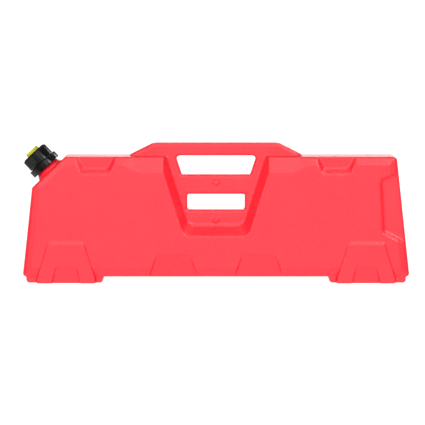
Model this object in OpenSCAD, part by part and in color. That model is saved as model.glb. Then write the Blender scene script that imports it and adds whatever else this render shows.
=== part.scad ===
// Flat moulded fuel can, lying long: a hollow tank with a carrying handle, and on its
// cut corner a screw ring that holds the stored pour spout under a vented grip cap.
// Millimetres. X runs along the can, Y from front to back, Z up from the ground.

/* [Tank] */
// Length of the tank along its base
tank_len = 1008; // [900:4:1200]
// Height of the tank above its feet, without the handle
tank_h = 313; // [290:1:360]
// Thickness of the tank from front to back
tank_t = 110; // [96:1:150]
// Wall thickness of the moulding
wall = 4; // [3:0.25:5]
// Inward lean of both ends in degrees
end_lean = 6.65; // [3:0.05:9]
// Outline radius at the lower corners
base_r = 8; // [6:1:16]
// Outline radius at the upper corner
top_r = 12; // [8:1:22]
// Height of the corner cut that carries the neck
corner_cut = 81; // [76:1:100]
// Slope of the corner cut in degrees
cut_angle = 43; // [40:0.5:50]
// Outline radius at both ends of the corner cut
cut_r = 8; // [6:1:12]

/* [Bevels] */
// Tilt of every bevel from the front face in degrees
bevel_tilt = 23; // [18:0.5:26]
// Width of the bevel along both ends
end_bevel = 23; // [12:1:28]
// Width of the bevel along the top
top_bevel = 20; // [12:1:28]
// Width of the bevel along the base
base_bevel = 24; // [14:1:32]
// Width of the bevel along the corner cut
cut_bevel = 14; // [8:1:20]
// Width of the flatter bevel beside the handle
shoulder_bevel = 41; // [34:1:50]
// Tilt of the flatter bevel in degrees
shoulder_tilt = 12.5; // [12:0.5:15]
// Tilt of the flatter bevel's flanks in degrees
flank_tilt = 17; // [12:1:24]
// Half length of the flatter bevel at its foot
shoulder_low = 200; // [180:1:215]
// Half length of the flatter bevel where it meets the top bevel
shoulder_high = 243; // [225:1:250]

/* [Grip recess] */
// Half width of the recess at its mouth
recess_hw = 136; // [130:1:150]
// Depth below the tank top where its sides start to slope
recess_knee = 41; // [30:1:55]
// Slope of its sides from the vertical in degrees
recess_slope = 17.5; // [12:0.5:20]
// Height of the recess below the tank top
recess_h = 206.5; // [200:1:225]
// Width of its sloping side walls seen from the front
recess_side = 20; // [12:1:24]
// Height of its sloping lower wall seen from the front
recess_foot = 26; // [16:1:32]
// Radius of its lower corners at the mouth
recess_r = 18; // [10:1:24]
// Thickness of the web left between both recesses, and of the handle
web_t = 40; // [32:1:48]

/* [Slots] */
// Height of the hand slot
hand_h = 50; // [42:0.5:52]
// Half width of the hand slot at its top
hand_hw = 106; // [98:0.5:110]
// Slope of the hand slot's ends from the vertical in degrees
hand_slope = 18; // [10:1:24]
// Upper corner radius of the hand slot
hand_r = 9; // [4:0.5:12]
// Lower corner radius of the hand slot
hand_low_r = 5; // [3:0.5:10]
// Web height between both slots
slot_gap = 50.5; // [44:0.5:58]
// Height of the lower slot
low_h = 41.5; // [32:0.5:46]
// Half width of the lower slot
low_hw = 75; // [66:0.5:78]
// Corner radius of the lower slot
low_r = 5; // [3:0.5:8]
// Radius of the two moulded studs on the web
stud_r = 8; // [6:0.2:9]
// Height of the moulded studs
stud_h = 3; // [1.6:0.2:3.4]
// Distance of the upper stud above the lower slot
stud_rise = 30.5; // [25:0.5:34]
// Distance of the lower stud below the lower slot
stud_drop = 26; // [20:1:30]

/* [Handle] */
// Length of the handle ridge
handle_len = 444; // [420:2:480]
// Height of the handle above the tank top
handle_rise = 34; // [28:0.5:40]
// Height of the handle bar over the hand slot
bar_h = 33; // [28:0.5:36]
// Height of the ridge's ends above the tank top
tip_h = 4; // [2:0.5:8]
// Rake of the ridge's ends in degrees
handle_rake = 26.5; // [22:0.5:32]
// Radius where the rake meets the bar
crown_r = 30; // [16:1:40]
// Edge radius along the top of the handle
handle_edge = 8; // [4:0.5:12]

/* [Top notches] */
// Distance of each notch from the middle of the can
notch_x = 311; // [306:1:325]
// Half width of a notch at the tank top
notch_hw = 58; // [50:1:62]
// Half width of a notch at its lower edge
notch_low_hw = 36; // [30:1:40]
// Height of a notch
notch_h = 44; // [40:1:54]
// Radius of its lower corners seen from the front
notch_r = 11; // [4:1:14]
// Width of its sloping walls seen from the front
notch_wall = 11; // [6:1:13]
// Depth of a notch
notch_d = 13; // [8:0.5:16]

/* [Base grooves] */
// Distance of each groove from the middle of the can
groove_x = 111; // [100:1:125]
// Height of a groove
groove_h = 60; // [50:1:70]
// Half width of a groove at its top
groove_hw = 43; // [34:1:46]
// Half width of a groove at the base
groove_low_hw = 65; // [54:1:68]
// Tilt of its floor from the front face in degrees
groove_tilt = 10; // [10:0.5:14]
// Draft of its side walls seen from the front
groove_draft = 6; // [3:0.5:9]

/* [Feet] */
// Height of the feet
foot_h = 16; // [12:0.5:20]
// Length of a foot along the can
foot_len = 199; // [176:1:206]
// Distance of a foot's middle from the end of the can
foot_from_end = 109.4; // [106:0.2:125]
// Depth of a foot from front to back
foot_t = 88; // [76:1:90]
// Lower corner radius of a foot
foot_r = 8; // [4:0.5:10]
// Height of the pad that runs up the front from a foot
pad_h = 106; // [92:1:116]
// Half width of a pad at its top
pad_hw = 46; // [36:1:50]
// Half width of a pad at the ground
pad_low_hw = 79; // [66:1:82]
// Distance of a pad's middle from its foot's middle, towards the middle of the can
pad_in = 5; // [0:0.5:8]
// Height of a pad over the front face
pad_proud = 3.5; // [2:0.25:5]
// Draft of a pad's edges
pad_draft = 3; // [1:0.5:5]
// Height of the hollow in a pad
hollow_h = 45; // [36:1:54]
// Half width of the hollow at its top
hollow_hw = 26; // [20:1:30]
// Half width of the hollow at the ground
hollow_low_hw = 37; // [31:1:42]
// Tilt of the hollow's floor from the front face in degrees
hollow_tilt = 7; // [5:0.5:12]

/* [End grip] */
// Distance of the end grip's inner edge from the end of the base
grip_in = 74; // [62:1:86]
// Lean of its inner edge in degrees
grip_lean = 3.5; // [2:0.5:6]
// Height of its lower inner corner above the ground
grip_low_z = 132; // [124:1:150]
// Height of its upper inner corner above the ground
grip_high_z = 272; // [250:1:275]
// Fall of its lower ledge in degrees
grip_fall = 27.5; // [20:0.5:32]
// Climb of its upper edge in degrees
grip_climb = 21; // [15:0.5:26]
// Depth of the end grip
grip_d = 9; // [6:0.5:12]
// Width of its sloping walls seen from the front
grip_wall = 7; // [4:0.5:9]

/* [Neck] */
// Outer radius of the neck at the thread crests
neck_r = 32; // [30:0.25:34]
// Bore radius of the neck
neck_bore_r = 27; // [25:0.25:28]
// Widening of the cone at the neck's foot
neck_flare = 7; // [4:0.5:9]
// Clear length of neck below the ring
neck_show = 13.5; // [10:0.5:16]
// Distance of the neck's axis from the middle of the corner cut
neck_shift = 1.5; // [0:0.5:9]

/* [Screw ring] */
// Outer radius of the ring
ring_r = 42.75; // [40:0.25:44]
// Height of the ring
ring_h = 18; // [15:0.5:20]
// Thickness of the ring's top lip
ring_lip = 3; // [2:0.25:4]
// Edge chamfer of the ring
ring_edge = 1.2; // [0.6:0.1:1.8]
// Clearance between threads and between turning pieces
run_gap = 0.35; // [0.3:0.05:0.5]
// Gap between ring and cap
cap_gap = 0.6; // [0.4:0.1:1]

/* [Spout] */
// Thickness of the spout's flange
flange_t = 2.5; // [2:0.25:3.5]
// Thickness of the gasket under the flange
neck_gasket_t = 2; // [1.5:0.25:3]
// Outer radius of the spout's threaded collar
collar_r = 27; // [26:0.25:28]
// Wall of the spout's collar
collar_wall = 4.5; // [3.5:0.25:5.5]
// Height of the collar above the flange
collar_h = 18.5; // [17:0.5:19]
// Outer radius of the nozzle at the flange
nozzle_r = 22.5; // [20:0.25:23]
// Outer radius of the nozzle at its tip
nozzle_tip_r = 13; // [10:0.25:16]
// Wall of the nozzle
nozzle_wall = 2.5; // [2:0.25:3]
// Length of the nozzle below the flange
nozzle_len = 165; // [120:1:180]
// Length of the straight part at the tip
nozzle_tip_len = 55; // [30:1:70]

/* [Grip cap] */
// Outer radius of the cap
cap_r = 37.25; // [36:0.25:38.5]
// Height of the cap
cap_h = 32; // [31.5:0.5:38]
// Width of the chamfer round the cap's top
cap_edge_w = 6; // [3:0.25:8]
// Height of the chamfer round the cap's top
cap_edge_h = 4; // [2:0.25:6]
// Height of the full skirt under the finger flats
skirt_h = 6; // [4.5:0.25:8]
// Depth of both finger flats
flat_d = 3.75; // [2:0.25:5]
// Turn of the finger flats away from the front in degrees
flat_turn = 33; // [0:1:60]
// Thickness of the gasket inside the cap
cap_gasket_t = 2.5; // [1.5:0.25:3]
// Width of the gasket inside the cap
cap_gasket_w = 9; // [6:0.5:11]

/* [Vent] */
// Radius of the vent button
button_r = 18.75; // [16:0.25:19.5]
// Height of the button above the cap
button_proud = 8.5; // [7:0.25:10]
// Depth of the button's well in the cap
well_d = 12; // [10.5:0.25:12.5]
// Travel of the button
vent_travel = 4; // [2:0.25:4.5]
// Wall of the button
button_wall = 2.5; // [2:0.25:3]
// Radius of the stem
stem_r = 3; // [2.5:0.1:3.5]
// Clearance of the stem in the cap, which lets the vapour pass
stem_gap = 0.8; // [0.5:0.1:1.2]
// Radius of the stem's head
head_r = 8; // [7:0.25:9]
// Thickness of the stem's head
head_t = 2; // [1.5:0.25:3]
// Thickness of the vent seal on the head
seal_t = 1.5; // [1:0.25:2.5]
// Mean coil radius of the vent spring
coil_r = 8; // [7:0.25:9.5]
// Wire radius of the vent spring
wire_r = 0.6; // [0.4:0.05:0.8]
// Turns of the vent spring
coil_turns = 5.5; // [4:0.5:7]

/* [Hidden] */
$fn = 96;

// How far cutters reach past what they cut
over = 12;
// Segments of one rounded outline corner
arc_n = 6;

// Heights on the tank
top_z = foot_h + tank_h;
handle_z = top_z + handle_rise;
hand_top = handle_z - bar_h;
hand_low = hand_top - hand_h;
low_top = hand_low - slot_gap;
low_low = low_top - low_h;
web_split = hand_low - slot_gap / 7;
recess_d = (tank_t - web_t) / 2;
front_y = -tank_t / 2;
foot_x = tank_len / 2 - foot_from_end;
pad_x = foot_x - pad_in;

// Places along the neck's axis, measured out from the face of the corner cut
ring_z = neck_show;
ring_top = ring_z + ring_h;
flange_top = ring_top - ring_lip;
flange_z = flange_top - flange_t;
rim_z = flange_z - neck_gasket_t;
collar_top = flange_top + collar_h;
cap_z = ring_top + cap_gap;
cap_top = cap_z + cap_h;
roof_z = collar_top + cap_gasket_t;
well_z = cap_top - well_d;
button_z = well_z + vent_travel + 1;
button_top = cap_top + button_proud;
button_roof = button_top - button_wall;
head_z = roof_z - seal_t - head_t;
thread_r = collar_r + run_gap;

// Half length of the tank at a height, pulled in by g
function end_x(z, g) = tank_len / 2 - (z - foot_h) * tan(end_lean) - g / cos(end_lean);
// Distance of the corner cut's line from the frame's origin, pulled in by g
function cut_reach(g) =
    end_x(top_z - corner_cut, 0) * sin(cut_angle) + (top_z - corner_cut) * cos(cut_angle) - g;
// Place of the corner cut along the can at a height, pulled in by g
function cut_x(z, g) = (z * cos(cut_angle) - cut_reach(g)) / sin(cut_angle);
// Height where the corner cut meets the end, pulled in by g
function cut_side_z(g) =
    (cut_reach(g) - end_x(0, g) * sin(cut_angle)) / (cos(cut_angle) - tan(end_lean) * sin(cut_angle));

// Middle of the corner cut, and the neck's place on it
cut_side = [cut_x(cut_side_z(0), 0), cut_side_z(0)];
cut_top = [cut_x(top_z, 0), top_z];
neck_at = (cut_side + cut_top) / 2 + neck_shift * [cos(cut_angle), sin(cut_angle)];

// Unit vector of v
function unit(v) = v / norm(v);
// Arc of radius r that rounds corner b between a and c
function corner_arc(a, b, c, r) =
    let (u = unit(a - b), v = unit(c - b), half = acos(u * v) / 2)
    let (mid = b + unit(u + v) * r / sin(half))
    let (s = b + u * r / tan(half) - mid, e = b + v * r / tan(half) - mid)
    let (start = atan2(s.y, s.x), turn = atan2(cross(s, e), s * e))
    [for (i = [0 : arc_n]) mid + r * [cos(start + turn * i / arc_n), sin(start + turn * i / arc_n)]];
// Outline p with its corners rounded to the radii r, where r > 0
function rounded(p, r) =
    [for (i = [0 : len(p) - 1])
        let (a = p[(i + len(p) - 1) % len(p)], c = p[(i + 1) % len(p)])
        each (r[i] > 0 ? corner_arc(a, p[i], c, r[i]) : [p[i]])];
// Upright trapezoid about x from z0 to z1 with half widths w0 and w1, grown by g
function trapezoid(x, z0, w0, z1, w1, g = 0) =
    let (k = (w1 - w0) / (z1 - z0), s = g * sqrt(1 + k * k))
    [[x - w0 - s + k * g, z0 - g], [x + w0 + s - k * g, z0 - g],
     [x + w1 + s + k * g, z1 + g], [x - w1 - s - k * g, z1 + g]];

// Outline of the tank in X and Z, pulled in by g
function tank_outline(g) =
    let (low = foot_h + g, high = top_z - g, side = cut_side_z(g))
    rounded(
        [[-end_x(low, g), low], [end_x(low, g), low], [end_x(high, g), high],
         [cut_x(high, g), high], [cut_x(side, g), side]],
        [base_r - g, base_r - g, top_r - g, cut_r - g, cut_r - g]);

// Half width of the grip recess's floor at a height, grown by g
function floor_hw(z, g) =
    recess_hw + g - recess_side / cos(recess_slope) - (top_z - recess_knee - z) * tan(recess_slope);
// Outline of the grip recess's floor, grown by g
function recess_floor(g) =
    let (low = top_z - recess_h + recess_foot - g, knee = top_z - recess_knee, head = top_z + over)
    rounded(
        [[-floor_hw(low, g), low], [floor_hw(low, g), low], [floor_hw(knee, g), knee],
         [floor_hw(head, g), head], [-floor_hw(head, g), head], [-floor_hw(knee, g), knee]],
        0.7 * recess_r * [1, 1, 0, 0, 0, 0]);

// Plate of an X-Z outline, centred on the can's middle plane
module plate(outline, thick) {
    rotate([90, 0, 0])
        linear_extrude(thick, center = true)
            polygon(outline);
}

// Solid between outline a at depth ya and outline b, with as many points, at yb
module loft(a, ya, b, yb) {
    n = len(a);
    points = concat([for (p = a) [p.x, ya, p.y]], [for (p = b) [p.x, yb, p.y]]);
    faces = concat(
        [[for (i = [n - 1 : -1 : 0]) i]],
        [[for (i = [0 : n - 1]) n + i]],
        [for (i = [0 : n - 1]) [i, (i + 1) % n, n + (i + 1) % n]],
        [for (i = [0 : n - 1]) [i, n + (i + 1) % n, n + i]]);
    polyhedron(points, faces, convexity = 4);
}

// Cutter with outline mouth on the front face and outline floor at the depth d
module pocket(mouth, floor, d) {
    out = [for (i = [0 : len(mouth) - 1]) mouth[i] + (mouth[i] - floor[i]) * over / d];
    loft(out, front_y - over, floor, front_y + d);
}

// Everything in front of a bevel plane, as far as reach past the bevel. The bevel starts at the
// outline's edge through at, turned so that inward points into the tank, and is w wide.
module bevel_cut(at, inward, w, g, tilt = bevel_tilt, reach = 2 * over) {
    slope = tan(tilt);
    start = w + g / sin(tilt);
    translate([at.x, front_y, at.y])
        rotate([0, -inward, 0])
            linear_extrude(2 * tank_len, center = true)
                polygon([[start + reach, -reach * slope],
                         [-reach, (start + reach) * slope],
                         [-reach, -reach * slope]]);
}

// Children on the front, and mirrored to the back
module both_faces() {
    children();
    mirror([0, 1, 0]) children();
}

// Children at the left, and mirrored to the right
module both_ends() {
    children();
    mirror([1, 0, 0]) children();
}

// Children with their Z axis along the neck
module at_neck() {
    translate([neck_at.x, 0, neck_at.y])
        rotate([0, -cut_angle, 0])
            children();
}

// Turned piece along the neck's axis from a profile of radius and height
module turned(profile) {
    at_neck()
        rotate_extrude()
            polygon(profile);
}

// Bevels round the front face
module face_bevels(g) {
    bevel_cut([end_x(foot_h, 0), foot_h], 180 + end_lean, end_bevel, g);
    bevel_cut([-end_x(foot_h, 0), foot_h], -end_lean, end_bevel, g);
    bevel_cut([0, top_z], 270, top_bevel, g);
    bevel_cut([0, foot_h], 90, base_bevel, g);
    bevel_cut(cut_top, 270 + cut_angle, cut_bevel, g);
}

// Flatter bevel on both sides of the handle, with a sloping flank at each end
module shoulder(g) {
    turn = 180 + atan2(shoulder_high - shoulder_low, shoulder_bevel - top_bevel);
    start = [-shoulder_high, top_z - top_bevel];
    intersection() {
        bevel_cut([0, top_z], 270, shoulder_bevel, g, shoulder_tilt);
        bevel_cut(start, turn, 0, g, flank_tilt, tank_len);
        mirror([1, 0, 0]) bevel_cut(start, turn, 0, g, flank_tilt, tank_len);
    }
}

// Recess that leaves the web with both slots
module grip_recess(g) {
    knee = top_z - recess_knee;
    low = top_z - recess_h - g;
    high_hw = recess_hw + g;
    low_hw = high_hw - (knee - low) * tan(recess_slope);
    head = top_z + over;
    mouth = [[-low_hw, low], [low_hw, low], [high_hw, knee], [high_hw, head],
             [-high_hw, head], [-high_hw, knee]];
    pocket(rounded(mouth, recess_r * [1, 1, 0, 0, 0, 0]), recess_floor(g), recess_d + g);
}

// Notch in the top edge
module top_notch(g) {
    low = top_z - notch_h;
    k = (notch_hw - notch_low_hw) / notch_h;
    head = top_z + over;
    mouth = trapezoid(notch_x, low, notch_low_hw, head, notch_hw + k * over, g);
    floor = trapezoid(notch_x, low + notch_wall, notch_low_hw - notch_wall + k * notch_wall,
                      head, notch_hw - notch_wall + k * over, g);
    low_r = notch_r * [1, 1, 0, 0];
    pocket(rounded(mouth, low_r), rounded(floor, 0.6 * low_r), notch_d + g);
}

// Ramped groove in the base
module base_groove(g) {
    high = foot_h + groove_h;
    k = (groove_low_hw - groove_hw) / groove_h;
    deep = groove_h * tan(groove_tilt) + over;
    mouth = trapezoid(groove_x, foot_h - over, groove_low_hw + k * over,
                      high + over, groove_hw - k * over, g);
    floor = trapezoid(groove_x, foot_h - over, groove_low_hw + k * over - groove_draft,
                      high + over, groove_hw - k * over - groove_draft, g);
    intersection() {
        pocket(mouth, floor, deep + g);
        bevel_cut([0, foot_h], 90, groove_h, g, groove_tilt);
    }
}

// Shallow grip at the end away from the neck
module end_grip(g) {
    x = tank_len / 2 - grip_in;
    far = grip_in + over;
    back = (grip_high_z - grip_low_z) * tan(grip_lean);
    mouth = [[x - g, grip_low_z - g], [x + far, grip_low_z - far * tan(grip_fall) - g],
             [x + far, grip_high_z + far * tan(grip_climb) + g], [x - back - g, grip_high_z + g]];
    low_wall = grip_wall * [1, 1 - tan(grip_fall)];
    high_wall = grip_wall * [1, tan(grip_climb) - 1];
    floor = [mouth[0] + low_wall, mouth[1] + low_wall, mouth[2] + high_wall, mouth[3] + high_wall];
    pocket(mouth, floor, grip_d + g);
}

// All hollows of the front face
module face_hollows(g) {
    face_bevels(g);
    shoulder(g);
    grip_recess(g);
    both_ends() top_notch(g);
    both_ends() base_groove(g);
    end_grip(g);
}

// Carrying ridge on top, pulled in by g
module handle_ridge(g) {
    half = handle_len / 2 - g;
    tip = top_z + tip_h - g;
    high = handle_z - g;
    shoulder_x = half - (high - tip) / tan(handle_rake);
    root = top_z - handle_edge - wall;
    edge = handle_edge - g;
    section = rounded([[-web_t / 2 + g, root], [web_t / 2 - g, root],
                       [web_t / 2 - g, high], [-web_t / 2 + g, high]], [0, 0, edge, edge]);
    intersection() {
        plate(rounded([[-half, root], [half, root], [half, tip], [shoulder_x, high],
                       [-shoulder_x, high], [-half, tip]],
                      [0, 0, 0, crown_r, crown_r, 0]), web_t - 2 * g);
        rotate([90, 0, 90])
            linear_extrude(handle_len, center = true)
                polygon(section);
    }
}

// Both slots through the web, grown by g
module web_slots(g) {
    lean = hand_h * tan(hand_slope);
    hand = trapezoid(0, hand_low, hand_hw - lean, hand_top, hand_hw, g);
    low = trapezoid(0, low_low, low_hw, low_top, low_hw, g);
    grow = g * [1, 1, 1, 1];
    plate(rounded(hand, [hand_low_r, hand_low_r, hand_r, hand_r] + grow), tank_t);
    plate(rounded(low, low_r * [1, 1, 1, 1] + grow), tank_t);
}

// Foot under one end, pulled in by g
module foot(g) {
    half = foot_len / 2 - g;
    high = foot_h + base_r + wall;
    plate(rounded([[foot_x - half, g], [foot_x + half, g], [foot_x + half, high], [foot_x - half, high]],
                  [foot_r - g, foot_r - g, 0, 0]), foot_t - 2 * g);
}

// Pad that runs up the front face from a foot, with a ramped hollow
module foot_pad() {
    seat = base_bevel * tan(bevel_tilt) + wall;
    k = (pad_low_hw - pad_hw) / pad_h;
    difference() {
        loft(trapezoid(pad_x, 0, pad_low_hw, pad_h, pad_hw), front_y - pad_proud,
             trapezoid(pad_x, 0, pad_low_hw + pad_draft,
                       pad_h + pad_draft, pad_hw + pad_draft - k * pad_draft),
             front_y + seat);
        intersection() {
            plate(trapezoid(pad_x, -over, hollow_low_hw + over * (hollow_low_hw - hollow_hw) / hollow_h,
                            hollow_h, hollow_hw), 3 * tank_t);
            translate([0, -pad_proud, 0])
                bevel_cut([0, 0], 90, hollow_h, 0, hollow_tilt);
        }
    }
}

// Moulded stud on the web
module web_stud(z) {
    crown = (stud_r * stud_r + stud_h * stud_h) / (2 * stud_h);
    translate([0, -web_t / 2, z])
        rotate([90, 0, 0])
            intersection() {
                translate([0, 0, stud_h - crown]) sphere(crown);
                translate([0, 0, -wall / 2]) cylinder(h = stud_h + wall, r = stud_r);
            }
}

// All studs on both faces of the web
module web_studs() {
    both_faces() {
        web_stud(low_top + stud_rise);
        web_stud(low_low - stud_drop);
    }
}

// Outside of the neck, with its conical foot let into the tank
module neck_skin() {
    turned([[0, -wall], [neck_r + neck_flare, -wall], [neck_r + neck_flare, 0],
            [neck_r, neck_show - 1], [neck_r, rim_z], [0, rim_z]]);
}

module neck_bore() {
    at_neck()
        translate([0, 0, -2 * over])
            cylinder(h = rim_z + 3 * over, r = neck_bore_r);
}

// Outer skin of the tank
module tank_skin() {
    difference() {
        union() {
            difference() {
                plate(tank_outline(0), tank_t);
                both_faces() face_hollows(0);
            }
            handle_ridge(0);
            both_ends() foot(0);
            both_faces() both_ends() foot_pad();
            neck_skin();
        }
        web_slots(0);
    }
    web_studs();
}

// Space for the fuel, one wall inside the skin
module fuel_space() {
    difference() {
        union() {
            difference() {
                plate(tank_outline(wall), tank_t - 2 * wall);
                both_faces() face_hollows(wall);
            }
            handle_ridge(wall);
            both_ends() foot(wall);
        }
        web_slots(wall);
    }
}

// The whole moulding. It is one piece, stated as six nodes that meet at plane cuts,
// so that each can keep its own hollows open.
module moulding() {
    difference() {
        tank_skin();
        fuel_space();
        neck_bore();
    }
}

// Room of the node round the neck: the plate of the corner cut and all beyond it
module corner_room() {
    at_neck()
        translate([-tank_h, -tank_t, -wall - 1])
            cube([2 * tank_h, 2 * tank_t, tank_h]);
}

// Room of both nodes round the slots: the recess's floor, and the ridge over the tank top
module web_room() {
    plate(recess_floor(-0.5), 2 * tank_t);
    translate([-handle_len / 2 - over, -tank_t, top_z])
        cube([handle_len + 2 * over, 2 * tank_t, 2 * handle_rise]);
}

// Room of the web's lower part: all below the bar under the hand slot
module strap_room() {
    translate([-tank_len / 2, -tank_t, 0])
        cube([tank_len, 2 * tank_t, web_split]);
}

// Room of the right foot: all below the tank's base
module foot_room() {
    translate([0, -tank_t, -over])
        cube([tank_len, 2 * tank_t, foot_h + over]);
}

module tank() {
    color([1, 0.25, 0.3])
        difference() {
            moulding();
            corner_room();
            web_room();
            both_ends() foot_room();
        }
}

module neck_corner() {
    color([0.98, 0.24, 0.29])
        intersection() {
            moulding();
            corner_room();
        }
}

// Web and carrying ridge with both slots, built from the same forms as the moulding
module whole_web() {
    difference() {
        union() {
            intersection() {
                plate(tank_outline(0), web_t);
                plate(recess_floor(-0.5), 2 * tank_t);
            }
            intersection() {
                handle_ridge(0);
                web_room();
            }
            web_studs();
        }
        web_slots(0);
        fuel_space();
    }
}

// Carrying ridge and the web round the hand slot
module carry_web() {
    color([0.96, 0.23, 0.28])
        difference() {
            whole_web();
            strap_room();
        }
}

// Web round the strap slot, below the hand slot
module strap_web() {
    color([0.97, 0.23, 0.28])
        intersection() {
            whole_web();
            strap_room();
        }
}

// Foot and the lower ends of its pads, built from the same forms as the moulding
module right_foot() {
    color([0.94, 0.22, 0.27])
        intersection() {
            difference() {
                union() {
                    foot(0);
                    both_faces() foot_pad();
                }
                foot(wall);
            }
            foot_room();
        }
}

module left_foot() {
    mirror([1, 0, 0]) right_foot();
}

// Flat rubber ring between the neck's rim and the spout's flange
module neck_gasket() {
    color([0.12, 0.12, 0.12])
        turned([[neck_bore_r, rim_z], [neck_r, rim_z], [neck_r, flange_z], [neck_bore_r, flange_z]]);
}

// Pour spout, stored nose down: flange, threaded collar above it, tapering nozzle below
module pour_spout() {
    tip_z = flange_z - nozzle_len;
    taper_z = tip_z + nozzle_tip_len;
    bore = collar_r - collar_wall;
    color([0.1, 0.1, 0.1])
        turned([[nozzle_tip_r - nozzle_wall, tip_z], [nozzle_tip_r, tip_z], [nozzle_tip_r, taper_z],
                [nozzle_r, flange_z - over], [nozzle_r, flange_z], [neck_r, flange_z],
                [neck_r, flange_top], [collar_r, flange_top], [collar_r, collar_top],
                [bore, collar_top], [bore, flange_top], [nozzle_r - nozzle_wall, flange_z],
                [nozzle_r - nozzle_wall, flange_z - over],
                [nozzle_tip_r - nozzle_wall, taper_z]]);
}

// Ring that screws on the neck and holds the spout's flange down
module screw_ring() {
    inner = neck_r + run_gap;
    lip = collar_r + run_gap;
    color([0.09, 0.09, 0.1])
        turned([[inner, ring_z], [ring_r - ring_edge, ring_z], [ring_r, ring_z + ring_edge],
                [ring_r, ring_top - ring_edge], [ring_r - ring_edge, ring_top],
                [lip, ring_top], [lip, flange_top], [inner, flange_top]]);
}

// Flat rubber ring between the spout's collar and the roof of the cap
module cap_gasket() {
    color([0.12, 0.12, 0.12])
        turned([[collar_r - cap_gasket_w, collar_top], [collar_r, collar_top],
                [collar_r, roof_z], [collar_r - cap_gasket_w, roof_z]]);
}

// Cap that screws on the spout's collar, with two finger flats over a full skirt
module grip_cap() {
    color([0.09, 0.09, 0.1])
        difference() {
            turned([[thread_r, cap_z], [cap_r - ring_edge, cap_z], [cap_r, cap_z + ring_edge],
                    [cap_r, cap_top - cap_edge_h], [cap_r - cap_edge_w, cap_top],
                    [button_r + run_gap, cap_top], [button_r + run_gap, well_z],
                    [stem_r + stem_gap, well_z], [stem_r + stem_gap, roof_z], [thread_r, roof_z]]);
            at_neck()
                rotate([0, 0, -flat_turn])
                    for (side = [0, 180])
                        rotate([0, 0, side])
                            translate([-cap_r, cap_r - flat_d, cap_z + skirt_h])
                                cube([2 * cap_r, over, cap_h]);
        }
}

// Mean line of the vent spring: angle and height at a share t of its length
function coil_rise() = button_roof - well_z - 2 * wire_r;
function coil_point(t) =
    let (a = 360 * coil_turns * t)
    [coil_r * cos(a), coil_r * sin(a), well_z + wire_r + coil_rise() * t];

// Compression spring under the button: one wire swept along a helix
module vent_spring() {
    sides = 6;
    steps = ceil(coil_turns * 12);
    rings = [for (i = [0 : steps])
        let (a = 360 * coil_turns * i / steps, c = coil_point(i / steps))
        for (j = [0 : sides - 1])
            let (b = 360 * j / sides)
            c + wire_r * [cos(b) * cos(a), cos(b) * sin(a), sin(b)]];
    faces = concat(
        [[for (j = [0 : sides - 1]) j]],
        [[for (j = [sides - 1 : -1 : 0]) steps * sides + j]],
        [for (i = [0 : steps - 1], j = [0 : sides - 1])
            [i * sides + j, (i + 1) * sides + j, i * sides + (j + 1) % sides]],
        [for (i = [0 : steps - 1], j = [0 : sides - 1])
            [i * sides + (j + 1) % sides, (i + 1) * sides + j, (i + 1) * sides + (j + 1) % sides]]);
    echo(str("least gap between the spring's turns: ", coil_rise() / coil_turns - 2 * wire_r));
    color([0.7, 0.7, 0.72])
        at_neck()
            polyhedron(rings, faces, convexity = 10);
}

// Push button that lets the vapour out, a cup with a boss for the stem
module vent_button() {
    boss = 2 * stem_r;
    color([0.85, 0.83, 0.2])
        turned([[stem_r, button_roof - boss], [boss, button_roof - boss], [boss, button_roof],
                [button_r - button_wall, button_roof], [button_r - button_wall, button_z],
                [button_r, button_z], [button_r, button_top - ring_edge],
                [button_r - ring_edge, button_top], [0, button_top], [0, button_roof],
                [stem_r, button_roof]]);
}

// Stem from the button through the cap's roof, with a head below it
module vent_stem() {
    color([0.75, 0.62, 0.3])
        turned([[0, head_z], [head_r, head_z], [head_r, head_z + head_t], [stem_r, head_z + head_t],
                [stem_r, button_roof], [0, button_roof]]);
}

// Rubber washer on the stem's head that closes the vapour hole
module vent_seal() {
    color([0.12, 0.12, 0.12])
        turned([[stem_r, head_z + head_t], [head_r, head_z + head_t], [head_r, roof_z], [stem_r, roof_z]]);
}

tank();
neck_corner();
carry_web();
strap_web();
left_foot();
right_foot();
neck_gasket();
pour_spout();
screw_ring();
cap_gasket();
grip_cap();
vent_spring();
vent_button();
vent_stem();
vent_seal();
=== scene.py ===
"""Looks of a flat moulded fuel can: its hollow tank, its closure, their finishes, and the studio.

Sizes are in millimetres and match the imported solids. Meshes are made in metres, in the solids' frame.
"""

import logging
import math
from dataclasses import dataclass, field
from enum import Enum
from typing import Callable, NamedTuple, Sequence

import bmesh
import bpy
import numpy as np
from bpy.types import Material, Mesh, Node, NodeSocket, NodeTree, Object, World
from mathutils import Matrix, Vector


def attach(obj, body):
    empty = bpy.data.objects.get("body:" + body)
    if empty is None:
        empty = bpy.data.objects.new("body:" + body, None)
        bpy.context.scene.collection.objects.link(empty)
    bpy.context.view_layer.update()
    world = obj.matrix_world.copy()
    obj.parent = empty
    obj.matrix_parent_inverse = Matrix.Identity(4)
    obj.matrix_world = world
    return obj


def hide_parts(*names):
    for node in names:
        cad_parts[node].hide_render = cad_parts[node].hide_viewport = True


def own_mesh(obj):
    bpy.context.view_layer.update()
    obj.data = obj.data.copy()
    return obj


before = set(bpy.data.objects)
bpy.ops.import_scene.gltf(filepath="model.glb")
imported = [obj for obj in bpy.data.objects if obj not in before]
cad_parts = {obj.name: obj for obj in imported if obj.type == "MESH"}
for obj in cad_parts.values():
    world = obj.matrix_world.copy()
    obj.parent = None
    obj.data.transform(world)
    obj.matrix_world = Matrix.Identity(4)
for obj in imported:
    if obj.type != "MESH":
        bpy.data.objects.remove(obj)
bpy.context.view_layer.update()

MM = 0.001
log = logging.getLogger("fuel_can")

Array = np.ndarray
Radius = Callable[[float, float, float], float]
Span = tuple[float, float]


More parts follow.
